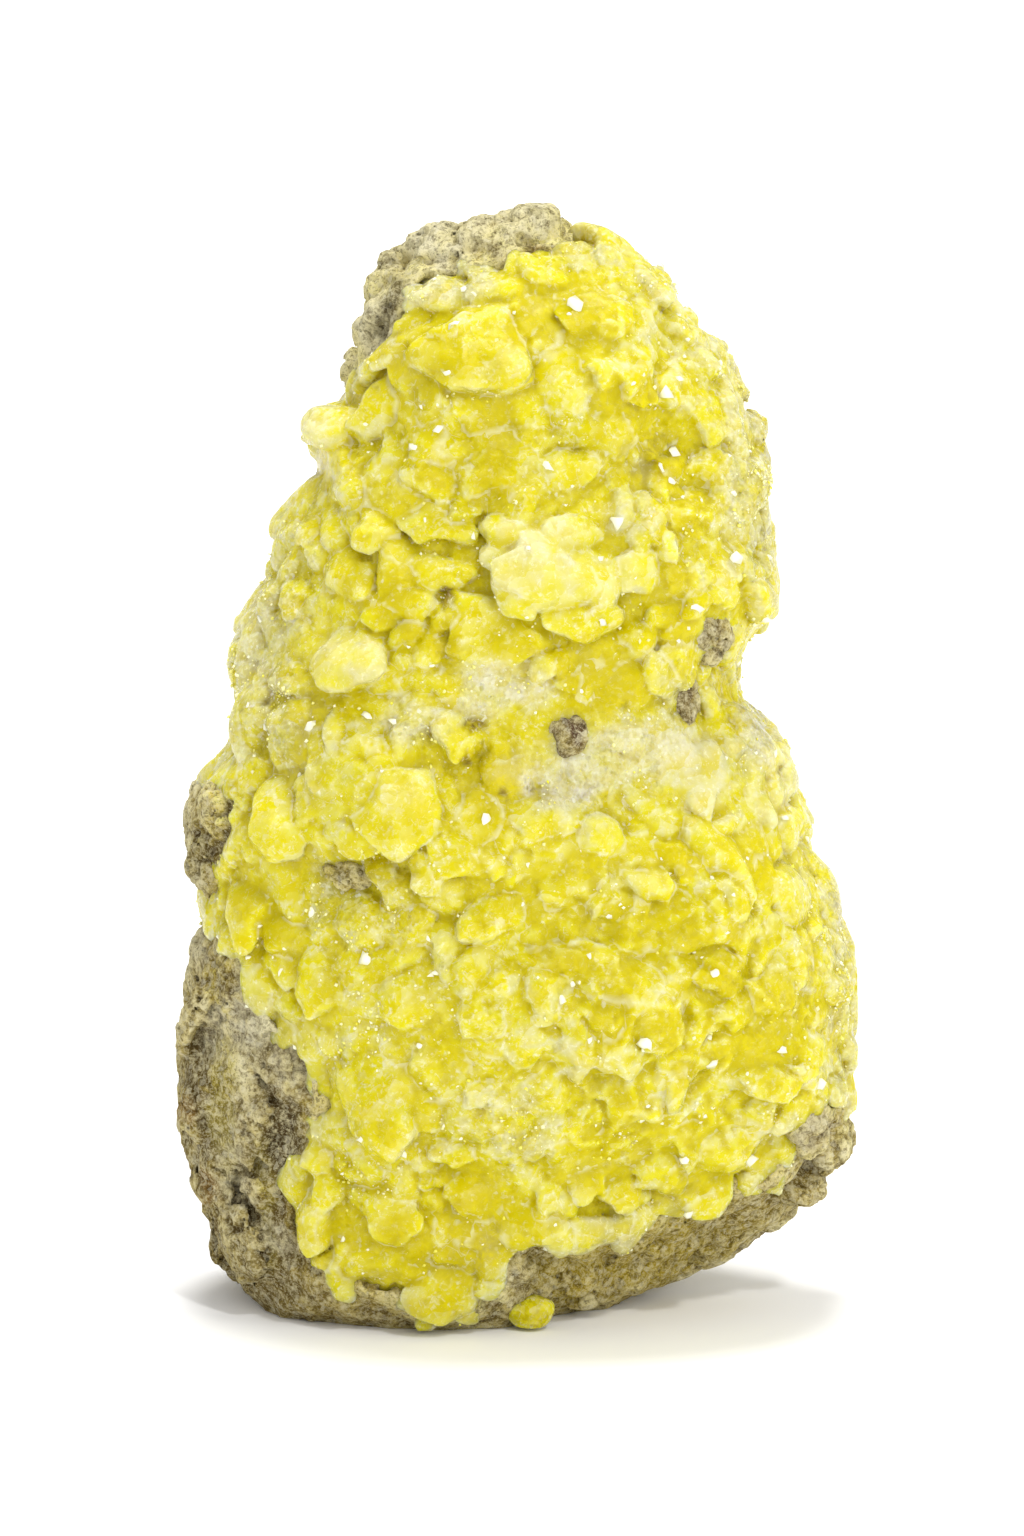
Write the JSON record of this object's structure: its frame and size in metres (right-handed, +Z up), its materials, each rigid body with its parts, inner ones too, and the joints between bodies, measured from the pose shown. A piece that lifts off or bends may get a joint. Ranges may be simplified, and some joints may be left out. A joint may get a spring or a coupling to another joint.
{
  "type": "sulfur specimen on host rock",
  "caption": "Upright hand specimen of host rock with a thick crust of yellow sulfur crystals over its front and right side, for display or study.",
  "frame": {"origin": "centre of the footprint box, on the plane that the specimen stands on", "axes": "+Z up the specimen, -Y the way its crystal crust faces, +X to the right of a viewer who looks at the crust"},
  "size_m": [0.0724, 0.0538, 0.1175],
  "materials": {
    "host_rock": "dull, grainy",
    "sulfur": "resinous, slightly translucent"
  },
  "bodies": {
    "root": {"host_rock": "host_rock", "sulfur_crust": "sulfur", "foot_crystal": "sulfur"}
  },
  "joints": []
}
